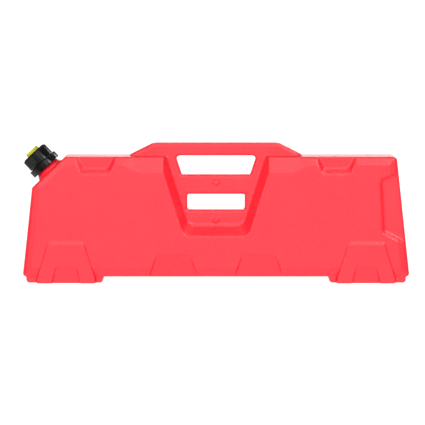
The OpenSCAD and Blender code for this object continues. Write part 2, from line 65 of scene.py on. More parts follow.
class Body(str, Enum):
    """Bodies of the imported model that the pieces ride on."""

    CAN = "can"
    SPOUT = "spout"
    RING = "ring"
    GASKET = "gasket"
    CAP = "cap"
    VENT = "vent"


class Slot(str, Enum):
    """Material slots of the record."""

    RED = "red_polyethylene"
    BLACK = "black_nylon"
    RUBBER = "black_rubber"
    YELLOW = "yellow_acetal"
    BRASS = "brass"
    STEEL = "spring_steel"


# Node sheets


class NodeSheet:
    """A node tree that is filled one node at a time."""

    def __init__(self, tree: NodeTree) -> None:
        """Starts on an empty tree."""
        self.tree = tree

    def add(self, kind: str, values: dict | None = None, **settings: object) -> Node:
        """Adds one node.

        Args:
            kind: the node's type name.
            values: by input name or index, a value, a socket, or a node for its first output.
            settings: the node's own properties.

        Returns:
            The new node.
        """
        node = self.tree.nodes.new(kind)
        for name, value in settings.items():
            setattr(node, name, value)
        for key, value in (values or {}).items():
            source = value.outputs[0] if isinstance(value, Node) else value
            if isinstance(source, NodeSocket):
                self.tree.links.new(source, node.inputs[key])
            else:
                node.inputs[key].default_value = source
        return node

    def math(self, operation: str, *terms: object) -> Node:
        """Adds a Math node for numbers, sockets or nodes."""
        return self.add("ShaderNodeMath", dict(enumerate(terms)), operation=operation)

    def ramp(self, *ends: object, **settings: object) -> Node:
        """Adds a Map Range node: a value, where its ramp starts and ends, and the results there."""
        return self.add("ShaderNodeMapRange", dict(enumerate(ends)), **settings)


def baked(mesh: Mesh, name: str, kind: str, settings: dict, inputs: dict | None = None) -> Mesh:
    """Runs one modifier on a mesh.

    Args:
        mesh: the mesh, which is used up.
        name: the result's name.
        kind: the modifier's type name.
        settings: its own properties.
        inputs: values for its tree's inputs, by identifier.

    Returns:
        What the modifier makes.
    """
    carrier = bpy.data.objects.new(name + "_carrier", mesh)
    bpy.context.scene.collection.objects.link(carrier)
    step = carrier.modifiers.new("step", kind)
    for key, value in settings.items():
        setattr(step, key, value)
    for key, value in (inputs or {}).items():
        step[key] = value
    graph = bpy.context.evaluated_depsgraph_get()
    made = bpy.data.meshes.new_from_object(carrier.evaluated_get(graph))
    bpy.data.objects.remove(carrier)
    bpy.data.meshes.remove(mesh)
    made.name = name
    return made


class FormTree(NodeSheet):
    """A Geometry Nodes tree with named inputs that is baked to a plain mesh."""

    def __init__(self, name: str, sizes: dict[str, float | int]) -> None:
        """Starts the tree.

        Args:
            name: the name of the mesh that it makes.
            sizes: its inputs with their values; whole numbers make counts.
        """
        super().__init__(bpy.data.node_groups.new(name + "_tree", "GeometryNodeTree"))
        self.name = name
        self.values: dict[str, float | int] = {}
        for label, value in sizes.items():
            kind = "NodeSocketInt" if isinstance(value, int) else "NodeSocketFloat"
            socket = self.tree.interface.new_socket(label, in_out="INPUT", socket_type=kind)
            socket.default_value = value
            self.values[socket.identifier] = value
        self.tree.interface.new_socket("Form", in_out="OUTPUT", socket_type="NodeSocketGeometry")
        self.given = self.add("NodeGroupInput").outputs

    def bake(self, form: Node, material: Material) -> Mesh:
        """Ends the tree and runs it once.

        Args:
            form: the node that gives the geometry.
            material: its material.

        Returns:
            The mesh, along the Z axis.
        """
        smooth = self.add("GeometryNodeSetShadeSmooth", {"Geometry": form})
        whole = self.add("GeometryNodeRealizeInstances", {"Geometry": smooth})
        dressed = self.add("GeometryNodeSetMaterial", {"Geometry": whole, "Material": material})
        self.add("NodeGroupOutput", {"Form": dressed})
        empty = bpy.data.meshes.new(self.name + "_carrier")
        return baked(empty, self.name, "NODES", {"node_group": self.tree}, self.values)


# Finishes

TINT_BAND = (0.35, 0.68)
# Pointiness band of the convex edges painted paler: scuffing and painted edge highlight.
EDGE_BAND = (0.52, 0.60)
GLOSS_BAND = (0.3, 0.7)
SEAM_BAND = (0.4 * MM, 1.2 * MM)
CLOUD_SCALE = 9.0


@dataclass(frozen=True)
class Grain:
    """Fine relief of a surface: its size and height in millimetres, and its strength."""

    size: float
    height: float
    strength: float


@dataclass(frozen=True)
class Finish:
    """A finish with a fine surface grain, a slow change of gloss, convex edges painted paler and rougher
    as scuffing and as a painted edge highlight, and maybe a moulding seam.
    """

    name: str
    slot: Slot | None
    colour: tuple[float, float, float]
    shade: tuple[float, float, float]
    grain: Grain
    roughness: float
    spread: float
    metallic: float = 0.0
    specular: float = 0.5
    # How far convex edges are painted paler and rougher: scuffing and painted edge highlight.
    edge_scuff_highlight: float = 0.0
    seam: float = 0.0
    glow: float = 0.0

    def material(self) -> Material:
        """Builds the finish, or gives the one that is there.

        Returns:
            The material.
        """
        made = bpy.data.materials.get(self.name)
        if made is not None:
            return made
        made = bpy.data.materials.new(self.name)
        made.use_nodes = True
        made.node_tree.nodes.clear()
        sheet = NodeSheet(made.node_tree)
        place = sheet.add("ShaderNodeTexCoord").outputs["Object"]
        fine = {"Vector": place, "Scale": 1.0 / (self.grain.size * MM), "Detail": 2.0, "Roughness": 0.55}
        grain = sheet.add("ShaderNodeTexNoise", fine).outputs["Fac"]
        wide = {"Vector": place, "Scale": CLOUD_SCALE, "Detail": 3.0, "Roughness": 0.6}
        cloud = sheet.add("ShaderNodeTexNoise", wide).outputs["Fac"]
        shades = {0: sheet.ramp(grain, *TINT_BAND), 6: (*self.shade, 1.0), 7: (*self.colour, 1.0)}
        tint = sheet.add("ShaderNodeMix", shades, data_type="RGBA").outputs[2]
        # Convex edges are painted paler, partly as scuffing and partly as a painted edge highlight; the
        # same mask also roughens them.
        bend = sheet.add("ShaderNodeNewGeometry").outputs["Pointiness"]
        edge_scuff_highlight_mask = sheet.math("MULTIPLY", sheet.ramp(bend, *EDGE_BAND, 0.0, self.edge_scuff_highlight), cloud)
        pale = (*(0.6 * part + 0.4 for part in self.colour), 1.0)
        edge_scuff_highlight_colour = sheet.add("ShaderNodeMix", {0: edge_scuff_highlight_mask, 6: tint, 7: pale}, data_type="RGBA").outputs[2]
        gloss = sheet.ramp(cloud, *GLOSS_BAND, self.roughness - self.spread, self.roughness + self.spread)
        off = sheet.math("ABSOLUTE", sheet.add("ShaderNodeSeparateXYZ", {0: place}).outputs["Y"])
        height = sheet.math("ADD", grain, sheet.ramp(off, *SEAM_BAND, self.seam, 0.0))
        rise = {"Strength": self.grain.strength, "Distance": self.grain.height * MM, "Height": height}
        looks = {
            "Base Color": edge_scuff_highlight_colour,
            "Roughness": sheet.math("ADD", gloss, edge_scuff_highlight_mask),
            "Normal": sheet.add("ShaderNodeBump", rise),
            "Metallic": self.metallic,
            "Specular IOR Level": self.specular,
            "Emission Strength": self.glow,
        }
        shader = sheet.add("ShaderNodeBsdfPrincipled", looks)
        sheet.add("ShaderNodeOutputMaterial", {"Surface": shader})
        return made


MOULDED = Grain(0.9, 0.05, 0.25)
TURNED = Grain(0.4, 0.02, 0.3)

RED = Finish(
    "red_moulding", Slot.RED, (0.86, 0.0163, 0.0316), (0.82, 0.0141, 0.0276), Grain(4.5, 1.2, 0.8),
    roughness=0.30, spread=0.02, edge_scuff_highlight=0.08, seam=1.2,
)
BLACK = Finish(
    "black_moulding", Slot.BLACK, (0.0044, 0.0044, 0.0049), (0.0035, 0.0035, 0.0039), MOULDED,
    roughness=0.15, spread=0.03, specular=0.25, edge_scuff_highlight=0.1,
)
YELLOW = Finish(
    "yellow_moulding", Slot.YELLOW, (0.50, 0.47, 0.010), (0.46, 0.43, 0.008), MOULDED,
    roughness=0.38, spread=0.04, specular=0.25,
)
RUBBER = Finish(
    "rubber", Slot.RUBBER, (0.020, 0.020, 0.020), (0.014, 0.014, 0.014), Grain(0.6, 0.06, 0.4),
    roughness=0.72, spread=0.05,
)
BRASS = Finish(
    "turned_brass", Slot.BRASS, (0.62, 0.42, 0.14), (0.54, 0.36, 0.11), TURNED,
    roughness=0.30, spread=0.06, metallic=1.0,
)
STEEL = Finish(
    "spring_wire", Slot.STEEL, (0.55, 0.55, 0.56), (0.47, 0.47, 0.48), TURNED,
    roughness=0.28, spread=0.05, metallic=1.0,
)


# Pieces


def piece_of(mesh: Mesh, finish: Finish) -> Object:
    """Makes an object of a mesh.

    Args:
        mesh: the mesh, in its place.
        finish: its finish.

    Returns:
        The object, which has the mesh's name.
    """
    mesh.materials.clear()
    mesh.materials.append(finish.material())
    obj = bpy.data.objects.new(mesh.name, mesh)
    bpy.context.scene.collection.objects.link(obj)
    return obj


def dress(mesh: Mesh, finish: Finish, body: Body, nodes: Sequence[str] = ()) -> Object:
    """Makes a finished piece of a mesh and puts it on its body.

    Args:
        mesh: the mesh, in its place.
        finish: its finish.
        body: the body that it rides on.
        nodes: solids that it stands for.

    Returns:
        The piece.
    """
    obj = piece_of(mesh, finish)
    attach(obj, body.value)
    if nodes:
        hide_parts(*nodes)
    log.info("%s rides on %s, %d faces", obj.name, body.value, len(obj.data.polygons))
    return obj


def mesh_of(name: str, points: Array, corners: Array) -> Mesh:
    """Makes a mesh of equal faces.

    Args:
        name: the mesh's name.
        points: its points in millimetres.
        corners: point numbers, one row for each face.

    Returns:
        The mesh, in metres.
    """
    mesh = bpy.data.meshes.new(name)
    count, sides = corners.shape
    mesh.vertices.add(len(points))
    mesh.vertices.foreach_set("co", (points * MM).astype(np.float32).ravel())
    mesh.loops.add(count * sides)
    mesh.loops.foreach_set("vertex_index", corners.astype(np.int32).ravel())
    mesh.polygons.add(count)
    mesh.polygons.foreach_set("loop_start", np.arange(0, count * sides, sides, dtype=np.int32))
    mesh.update(calc_edges=True)
    mesh.validate()
    return mesh


# Field of the tank: distances in millimetres, below zero inside


def join(a: Array, b: Array, r: float) -> Array:
    """Joins two forms with a fillet of about radius r."""
    swell = np.hypot(np.maximum(r - a, 0), np.maximum(r - b, 0))
    return np.maximum(r, np.minimum(a, b)) - swell


def meet(a: Array, b: Array, r: float | Array) -> Array:
    """Keeps what two forms share, with an edge of about radius r."""
    swell = np.hypot(np.maximum(r + a, 0), np.maximum(r + b, 0))
    return np.minimum(-r, np.maximum(a, b)) + swell


def meet_all(forms: Sequence[Array], r: float) -> Array:
    """Keeps what several forms share.

    Args:
        forms: the forms.
        r: about the radius of the edges.

    Returns:
        The distance from what is kept.
    """
    kept = forms[0]
    for form in forms[1:]:
        kept = meet(kept, form, r)
    return kept


def cut(a: Array, b: Array, r: float | Array) -> Array:
    """Takes form b out of form a, with an edge of about radius r."""
    return meet(a, -b, r)


def rounding(r: float, angle: float) -> float:
    """Gives the radius for meet that rounds a corner of an angle in degrees by r."""
    return r * (1.0 - math.sin(math.radians(angle / 2))) / (1.0 - math.sqrt(0.5))


def tilted(value: Array, *slopes: float) -> Array:
    """Scales a plane's value to a distance, from its slopes beside a first slope of 1."""
    return value / math.sqrt(1.0 + sum(s * s for s in slopes))


def slope_of(angle: float) -> float:
    """Gives the slope of an angle in degrees."""
    return math.tan(math.radians(angle))


class Places(NamedTuple):
    """Places along the can, their distances from its middle plane, and their heights."""

    x: Array
    q: Array
    z: Array


@dataclass
class Tank:
    """Hollow rotational moulding with its handle, web, slots, feet and neck."""

    length: float = 1008.0
    height: float = 313.0
    thick: float = 110.0
    wall: float = 4.0
    end_lean: float = 6.65
    base_r: float = 8.0
    base_angle: float = 88.0
    top_r: float = 12.0
    corner_cut: float = 81.0
    cut_angle: float = 43.0
    cut_r: float = 8.0
    bevel_tilt: float = 23.0
    end_bevel: float = 23.0
    top_bevel: float = 20.0
    base_bevel: float = 24.0
    cut_bevel: float = 14.0
    bevel_r: float = 0.5
    shoulder_r: float = 0.15
    rim_r: float = 5.0
    end_r: float = 9.0
    end_blend: float = 30.0
    shoulder_bevel: float = 41.0
    shoulder_tilt: float = 12.5
    flank_tilt: float = 17.0
    shoulder_low: float = 200.0
    shoulder_high: float = 243.0
    recess_hw: float = 136.0
    recess_knee: float = 41.0
    recess_slope: float = 17.5
    recess_h: float = 206.5
    recess_side: float = 20.0
    recess_foot: float = 26.0
    recess_r: float = 14.0
    recess_edge: float = 3.0
    knee_share: float = 0.25
    knee_r: float = 1.0
    web_t: float = 40.0
    web_fillet: float = 5.0
    hand_h: float = 50.0
    hand_hw: float = 106.0
    hand_slope: float = 18.0
    hand_r: float = 9.0
    hand_low_r: float = 5.0
    slot_gap: float = 50.5
    low_h: float = 41.5
    low_hw: float = 75.0
    low_r: float = 5.0
    slot_edge: float = 8.0
    stud_r: float = 8.0
    stud_h: float = 3.6
    stud_edge: float = 3.2
    stud_fillet: float = 1.0
    stud_rise: float = 30.5
    stud_drop: float = 26.0
    handle_len: float = 444.0
    handle_rise: float = 34.0
    bar_h: float = 33.0
    tip_h: float = 4.0
    handle_rake: float = 26.5
    crown_r: float = 3.2
    handle_edge: float = 8.0
    tip_r: float = 1.5
    web_foot: float = 10.0
    notch_x: float = 311.0
    notch_hw: float = 58.0
    notch_low_hw: float = 36.0
    notch_h: float = 44.0
    notch_r: float = 11.0
    notch_angle: float = 117.0
    notch_wall: float = 11.0
    notch_d: float = 13.0
    notch_lean: float = 4.0
    notch_edge: float = 3.5
    notch_brow: float = 1.2
    brow_h: float = 12.0
    groove_x: float = 111.0
    groove_h: float = 60.0
    groove_hw: float = 43.0
    groove_low_hw: float = 65.0
    groove_tilt: float = 10.0
    groove_draft: float = 6.0
    groove_step: float = 0.6
    groove_r: float = 8.0
    groove_edge: float = 2.0
    groove_d: float = 12.0
    foot_h: float = 16.0
    foot_len: float = 199.0
    foot_from_end: float = 109.4
    foot_t: float = 88.0
    foot_r: float = 8.0
    foot_edge: float = 4.0
    foot_fillet: float = 3.0
    pad_h: float = 106.0
    pad_hw: float = 46.0
    pad_low_hw: float = 79.0
    pad_in: float = 5.0
    pad_proud: float = 3.5
    pad_draft: float = 3.0
    pad_rake: float = 60.0
    pad_r: float = 5.0
    pad_foot: float = 1.5
    pad_base: float = 0.5
    pad_sink: float = 0.6
    pad_edge: float = 1.6
    pad_fillet: float = 1.5
    hollow_h: float = 45.0
    hollow_hw: float = 26.0
    hollow_low_hw: float = 37.0
    hollow_tilt: float = 7.0
    hollow_step: float = 1.2
    hollow_r: float = 7.0
    hollow_edge: float = 1.6
    hollow_rim: float = 1.2
    grip_in: float = 74.0
    grip_lean: float = 3.5
    grip_low_z: float = 132.0
    grip_high_z: float = 272.0
    grip_fall: float = 27.5
    grip_climb: float = 21.0
    grip_d: float = 9.0
    grip_wall: float = 9.0
    grip_edge: float = 3.5
    neck_r: float = 32.0
    neck_root_r: float = 30.6
    neck_bore_r: float = 27.0
    neck_flare: float = 7.0
    neck_fillet: float = 2.0
    neck_sink: float = 4.0
    neck_edge: float = 0.8
    bore_sink: float = 24.0
    neck_rim: float = 24.0
    neck_step: float = 12.5
    neck_shift: float = 1.5
    pitch: float = 2.5
    most_faces: int = 170000

    def __post_init__(self) -> None:
        """Works out the heights and places that several forms share."""
        self.top_z = self.foot_h + self.height
        self.handle_z = self.top_z + self.handle_rise
        self.hand_top = self.handle_z - self.bar_h
        self.hand_low = self.hand_top - self.hand_h
        self.low_top = self.hand_low - self.slot_gap
        self.low_low = self.low_top - self.low_h
        self.half_t = self.thick / 2
        self.foot_x = self.length / 2 - self.foot_from_end
        turn = math.radians(self.cut_angle)
        self.cut_run, self.cut_rise = math.cos(turn), math.sin(turn)
        low = self.top_z - self.corner_cut
        self.cut_reach = self.end_x(low) * self.cut_rise + low * self.cut_run
        top_x = (self.top_z * self.cut_run - self.cut_reach) / self.cut_rise
        middle = ((top_x - self.end_x(low)) / 2, (self.top_z + low) / 2)
        self.neck_at = (
            middle[0] + self.neck_shift * self.cut_run,
            middle[1] + self.neck_shift * self.cut_rise,
        )

    def end_x(self, z: float) -> float:
        """Gives the half length of the tank at a height."""
        return self.length / 2 - (z - self.foot_h) * slope_of(self.end_lean)

    def bevel(self, q: Array, edge: Array, width: float, tilt: float | None = None) -> Array:
        """Gives the distance from a bevel's plane, from its width on the front face and its tilt."""
        turn = math.radians(self.bevel_tilt if tilt is None else tilt)
        return (q - self.half_t) * math.cos(turn) + (edge + width) * math.sin(turn)

    def shell(self, at: Places) -> Array:
        """Gives the tank's plain block with its bevels.

        Args:
            at: the places.

        Returns:
            Their distances from its skin.
        """
        x, q, z = at
        lean = math.radians(self.end_lean)
        reach = self.length / 2
        drop = (z - self.foot_h) * math.sin(lean)
        right = (x - reach) * math.cos(lean) + drop
        left = (-x - reach) * math.cos(lean) + drop
        top = z - self.top_z
        base = self.foot_h - z
        corner = z * self.cut_run - x * self.cut_rise - self.cut_reach
        base_r = rounding(self.base_r, self.base_angle - self.end_lean)
        outline = meet(meet(base, right, base_r), left, base_r)
        outline = meet(outline, top, rounding(self.top_r, 90.0 + self.end_lean))
        outline = meet(outline, corner, rounding(self.cut_r, 180.0 - self.cut_angle))
        face = q - self.half_t
        edges = ((right, self.end_bevel), (left, self.end_bevel), (top, self.top_bevel))
        edges += ((base, self.base_bevel), (corner, self.cut_bevel))
        for edge, width in edges:
            face = meet(face, self.bevel(q, edge, width), self.bevel_r)
        rise = self.shoulder_bevel - self.top_bevel
        run = self.shoulder_high - self.shoulder_low
        slant = (self.shoulder_high - np.abs(x)) * rise + (top + self.top_bevel) * run
        slant = slant / math.hypot(rise, run)
        flat = -self.bevel(q, top, self.shoulder_bevel, self.shoulder_tilt)
        flank = -self.bevel(q, slant, 0.0, self.flank_tilt)
        face = cut(face, meet(flat, flank, self.shoulder_r), self.shoulder_r)
        near = np.maximum(right, left) - np.maximum(top, np.maximum(base, corner))
        rim = self.rim_r + (self.end_r - self.rim_r) * np.clip(0.5 + near / self.end_blend, 0.0, 1.0)
        return meet(face, outline, rim)

    def recess(self, at: Places) -> Array:
        """Gives the opening between both recesses, without the web that spans it.

        Args:
            at: the places.

        Returns:
            Their distances from its skin.
        """
        x, q, z = at
        slope = slope_of(self.recess_slope)
        depth = self.half_t - self.web_t / 2
        side = self.recess_side / math.cos(math.radians(self.recess_slope)) / depth
        foot = self.recess_foot / depth
        knee = self.top_z - self.recess_knee
        inward = self.half_t - q
        edge = self.recess_hw - (knee - z) * slope
        flank = tilted(np.abs(x) - edge + side * inward, slope, side)
        steep = self.knee_share * side
        upright = tilted(np.abs(x) - self.recess_hw + steep * inward, steep)
        lower = tilted(self.top_z - self.recess_h + foot * inward - z, foot)
        return meet(meet(flank, upright, self.knee_r), lower, self.recess_r)

    def web(self, at: Places) -> Array:
        """Gives the plate of the web and the handle, without its slots.

        Args:
            at: the places.

        Returns:
            Their distances from its skin.
        """
        x, q, z = at
        rake = math.radians(self.handle_rake)
        half = self.handle_len / 2
        climb = (np.abs(x) - half) * math.sin(rake) + (z - self.top_z - self.tip_h) * math.cos(rake)
        crown = meet(z - self.handle_z, climb, self.crown_r)
        crown = meet(crown, np.abs(x) - half, self.tip_r)
        plate = meet(q - self.web_t / 2, crown, self.handle_edge)
        return np.maximum(plate, self.top_z - self.recess_h - self.web_foot - z)

    def slots(self, at: Places) -> tuple[Array, Array]:
        """Gives both slots through the web.

        Args:
            at: the places.

        Returns:
            Their distances from the skin of each.
        """
        x, _, z = at
        lean = slope_of(self.hand_slope)
        side = tilted(np.abs(x) - self.hand_hw + (self.hand_top - z) * lean, lean)
        hand = meet(z - self.hand_top, side, rounding(self.hand_r, 90.0 - self.hand_slope))
        hand = meet(hand, self.hand_low - z, rounding(self.hand_low_r, 90.0 + self.hand_slope))
        low = meet(meet(z - self.low_top, self.low_low - z, 0.1), np.abs(x) - self.low_hw, self.low_r)
        return hand, low

    def notch(self, at: Places) -> Array:
        """Gives the notches in the top edge.

        Args:
            at: the places.

        Returns:
            Their distances from its skin.
        """
        x, q, z = at
        draft = self.notch_wall / self.notch_d
        k = (self.notch_hw - self.notch_low_hw) / self.notch_h
        low = self.top_z - self.notch_h
        inward = self.half_t - q
        edge = self.notch_low_hw + k * (z - low)
        side = tilted(np.abs(np.abs(x) - self.notch_x) - edge + draft * inward, k, draft)
        ledge = tilted(low + draft * inward - z, draft)
        lean = slope_of(self.notch_lean)
        floor = tilted(inward - self.notch_d - (self.top_z - z) * lean, lean)
        return meet(meet(side, ledge, rounding(self.notch_r, self.notch_angle)), floor, self.notch_edge)

    def groove(self, at: Places) -> Array:
        """Gives the ramped grooves in the base.

        Args:
            at: the places.

        Returns:
            Their distances from its skin.
        """
        x, q, z = at
        k = (self.groove_low_hw - self.groove_hw) / self.groove_h
        deep = self.groove_h * slope_of(self.groove_tilt) + self.groove_d
        draft = self.groove_draft / deep
        ramp = -self.bevel(q + self.groove_step, self.foot_h - z, self.groove_h, self.groove_tilt)
        edge = self.groove_hw + k * (self.foot_h + self.groove_h - z)
        side = np.abs(np.abs(x) - self.groove_x) - edge + draft * (self.half_t - q)
        rim = meet(tilted(side, k, draft), z - self.foot_h - self.groove_h, self.groove_r)
        return meet(ramp, rim, self.groove_edge)

    def grip(self, at: Places) -> Array:
        """Gives the shallow grip at the end away from the neck.

        Args:
            at: the places.

        Returns:
            Their distances from its skin.
        """
        x, q, z = at
        draft = self.grip_wall / self.grip_d
        inward = (self.half_t - q) * draft
        fall = slope_of(self.grip_fall)
        climb = slope_of(self.grip_climb)
        lean = slope_of(self.grip_lean)
        start = self.length / 2 - self.grip_in
        back = start - (self.grip_high_z - self.grip_low_z) * lean
        inner = tilted(start - (z - self.grip_low_z) * lean + inward - x, lean, draft)
        ledge = tilted(self.grip_low_z - (x - start) * fall + inward - z, fall, draft)
        upper = tilted(z - self.grip_high_z - (x - back) * climb + inward, climb, draft)
        return meet_all((self.half_t - q - self.grip_d, inner, ledge, upper), self.grip_edge)

    def feet(self, at: Places) -> tuple[Array, Array]:
        """Gives the foot slabs, and the pads that run up the faces from them.

        Args:
            at: the places.

        Returns:
            Their distances from the skin of both.
        """
        x, q, z = at
        across = np.abs(np.abs(x) - self.foot_x)
        slab = meet(meet(across - self.foot_len / 2, -z, self.foot_r), q - self.foot_t / 2, self.foot_edge)
        slab = np.maximum(slab, z - self.foot_h - self.base_r)
        across = np.abs(np.abs(x) - self.foot_x + self.pad_in)
        k = (self.pad_low_hw - self.pad_hw) / self.pad_h
        proud = self.half_t + self.pad_proud - q
        fall = self.base_bevel * slope_of(self.bevel_tilt)
        draft = self.pad_draft / (self.pad_proud + fall)
        reach = self.pad_low_hw - k * np.maximum(z, self.foot_h - self.pad_foot)
        side = tilted(across - reach - draft * proud, k, draft)
        rake = slope_of(self.pad_rake)
        head = tilted(z - self.pad_h - rake * (proud - self.pad_proud / 2), rake)
        pad = meet(meet(side, head, self.pad_r), -z, self.pad_base)
        pad = meet(-proud, pad, self.pad_edge)
        pad = np.maximum(pad, self.half_t - self.base_bevel * self.pad_sink - q)
        run = (self.hollow_low_hw - self.hollow_hw) / self.hollow_h
        ramp = -self.bevel(q - self.pad_proud + self.hollow_step, -z, self.hollow_h, self.hollow_tilt)
        rim = meet(tilted(across - self.hollow_low_hw + run * z, run), z - self.hollow_h, self.hollow_r)
        return slab, cut(pad, meet(ramp, rim, self.hollow_edge), self.hollow_rim)

    def along_neck(self, at: Places) -> tuple[Array, Array]:
        """Gives the distance from the neck's axis, and the height along it.

        Args:
            at: the places.

        Returns:
            Both, for each place.
        """
        x, q, z = at
        dx, dz = x - self.neck_at[0], z - self.neck_at[1]
        across = dx * self.cut_run + dz * self.cut_rise
        return np.hypot(across, q), dz * self.cut_run - dx * self.cut_rise

    def skin(self, at: Places) -> Array:
        """Gives the moulding's outside without its neck.

        Args:
            at: the places.

        Returns:
            Their distances from its skin.
        """
        x, q, z = at
        form = self.shell(at)
        form = cut(form, self.recess(at), self.recess_edge)
        form = join(form, self.web(at), self.web_fillet)
        ease = np.clip((self.top_z - z) / self.brow_h, 0.0, 1.0)
        brow = self.notch_brow + (self.notch_edge - self.notch_brow) * ease
        form = cut(form, self.notch(at), brow)
        form = cut(form, self.groove(at), self.groove_edge)
        form = cut(form, self.grip(at), self.grip_edge)
        slab, pad = self.feet(at)
        form = np.maximum(join(join(form, slab, self.foot_fillet), pad, self.pad_fillet), -z)
        for slot in self.slots(at):
            form = cut(form, slot, self.slot_edge)
        crown = q - self.web_t / 2 - self.stud_h
        for height in (self.low_top + self.stud_rise, self.low_low - self.stud_drop):
            stud = meet(np.hypot(x, z - height) - self.stud_r, crown, self.stud_edge)
            form = join(form, stud, self.stud_fillet)
        return form

    def field(self, points: Array) -> Array:
        """Gives the distance from the moulding's plastic.

        Args:
            points: one row for each place.

        Returns:
            Distances, below zero in the wall.
        """
        x, y, z = points.T
        at = Places(x, np.abs(y), z)
        skin = self.skin(at)
        radial, axial = self.along_neck(at)
        slant = self.neck_flare / self.neck_step
        cone = tilted(radial - self.neck_r + slant * (axial - self.neck_step), slant)
        tube = np.maximum(np.maximum(cone, axial - self.neck_step), -axial - self.neck_sink)
        thread = meet(radial - self.neck_root_r, axial - self.neck_rim, self.neck_edge)
        neck = np.minimum(tube, np.maximum(thread, -axial))
        outside = join(skin, neck, self.neck_fillet)
        bore = np.maximum(radial - self.neck_bore_r, -axial - self.bore_sink)
        inside = np.minimum(skin + self.wall, bore)
        return np.maximum(outside, -inside)

    def slope(self, points: Array, step: float = 0.15) -> tuple[Array, Array]:
        """Gives the field and its slope.

        Args:
            points: one row for each place.
            step: distance of the probes.

        Returns:
            The field's values, and one slope for each place.
        """
        parts = []
        for axis in range(3):
            probe = np.zeros(3)
            probe[axis] = step
            parts.append((self.field(points + probe) - self.field(points - probe)) / (2 * step))
        return self.field(points), np.stack(parts, 1)

    def settled(self, points: Array, rounds: int) -> Array:
        """Moves points onto the skin.

        Args:
            points: places near the skin.
            rounds: how often they are moved.

        Returns:
            The moved places.
        """
        for _ in range(rounds):
            value, slope = self.slope(points)
            size = np.maximum((slope * slope).sum(1), 0.05)
            step = np.clip(value / size, -self.pitch / 2, self.pitch / 2)
            points = points - slope * step[:, None]
        return points

    def net(self) -> tuple[Array, Array]:
        """Wraps the field in a net of quads.

        Returns:
            Points in millimetres, and four point numbers for each face.
        """
        margin = 2 * self.pitch
        reach, depth = self.length / 2 + margin, self.half_t + self.pad_proud + margin
        low = np.array([-reach, -depth, -margin])
        high = np.array([reach, depth, self.handle_z + margin])
        count = np.ceil((high - low) / self.pitch).astype(int) + 1
        axes = [low[i] + self.pitch * np.arange(count[i]) for i in range(3)]
        values = np.empty(tuple(count), np.float32)
        side, up = np.meshgrid(axes[1], axes[2], indexing="ij")
        for i, x in enumerate(axes[0]):
            places = np.stack([np.full(side.size, x), side.ravel(), up.ravel()], 1)
            values[i] = self.field(places).reshape(side.shape)
        return net_of(values, low, self.pitch)

    def build(self) -> Object:
        """Makes the moulding.

        Returns:
            The piece, thinned where it is flat, with its normals from the field.
        """
        points, corners = self.net()
        mesh = mesh_of("tank_moulding", self.settled(points, 2), corners)
        ratio = min(1.0, self.most_faces / (2.0 * len(corners)))
        final = baked(mesh, "tank_moulding", "DECIMATE", {"ratio": ratio})
        places = np.empty(len(final.vertices) * 3, np.float32)
        final.vertices.foreach_get("co", places)
        places = self.settled(places.reshape(-1, 3).astype(float) / MM, 2)
        final.vertices.foreach_set("co", (places * MM).astype(np.float32).ravel())
        final.shade_smooth()
        _, slope = self.slope(places)
        slope /= np.maximum(np.linalg.norm(slope, axis=1, keepdims=True), 1e-6)
        final.normals_split_custom_set_from_vertices(slope.astype(np.float32).tolist())
        nodes = ["tank", "neck_corner", "carry_web", "strap_web", "left_foot", "right_foot"]
        return dress(final, RED, Body.CAN, nodes)


def net_of(values: Array, low: Array, pitch: float) -> tuple[Array, Array]:
    """Wraps the zero level of a grid of distances in quads.

    Args:
        values: distances on the grid.
        low: place of its first point.
        pitch: distance of its points.

    Returns:
        Points, and four point numbers for each face, facing outwards.
    """
    inside = values < 0
    cells = tuple(n - 1 for n in values.shape)
    offsets = [(i, j, k) for i in (0, 1) for j in (0, 1) for k in (0, 1)]
    corner = [inside[i : i + cells[0], j : j + cells[1], k : k + cells[2]] for i, j, k in offsets]
    total = sum(c.astype(np.int8) for c in corner)
    active = np.argwhere((total > 0) & (total < 8))
    number = np.full(cells, -1, np.int64)
    number[tuple(active.T)] = np.arange(len(active))
    placed = np.zeros((len(active), 3))
    crossings = np.zeros(len(active))
    for start in offsets:
        for axis in range(3):
            if start[axis]:
                continue
            end = tuple(start[i] + (i == axis) for i in range(3))
            a = values[tuple((active + start).T)]
            b = values[tuple((active + end).T)]
            crossed = (a < 0) != (b < 0)
            share = np.where(crossed, a / np.where(crossed, a - b, 1), 0)
            spot = np.tile(np.array(start, float), (len(active), 1))
            spot[:, axis] += share
            placed[crossed] += spot[crossed]
            crossings += crossed
    points = low + pitch * (active + placed / crossings[:, None])
    quads = []
    for axis in range(3):
        one, two = (axis + 1) % 3, (axis + 2) % 3
        first = [slice(None)] * 3
        second = [slice(None)] * 3
        first[axis] = slice(0, -1)
        second[axis] = slice(1, None)
        a, b = inside[tuple(first)], inside[tuple(second)]
        changed = np.argwhere(a != b)
        clear = (changed[:, one] > 0) & (changed[:, two] > 0)
        clear &= (changed[:, one] < cells[one]) & (changed[:, two] < cells[two])
        changed = changed[clear]
        leaves = a[tuple(changed.T)]
        around = []
        for s, t in ((0, 0), (1, 0), (1, 1), (0, 1)):
            cell = changed.copy()
            cell[:, one] -= 1 - s
            cell[:, two] -= 1 - t
            around.append(number[tuple(cell.T)])
        quad = np.stack(around, 1)
        quad[~leaves] = quad[~leaves][:, ::-1]
        quads.append(quad)
    return points, np.concatenate(quads)


# Turned pieces along the neck's axis


@dataclass(frozen=True)
class Stop:
    """A corner of a turned profile: radius, height, and the fillet there."""

    r: float
    z: float
    fillet: float = 0.0


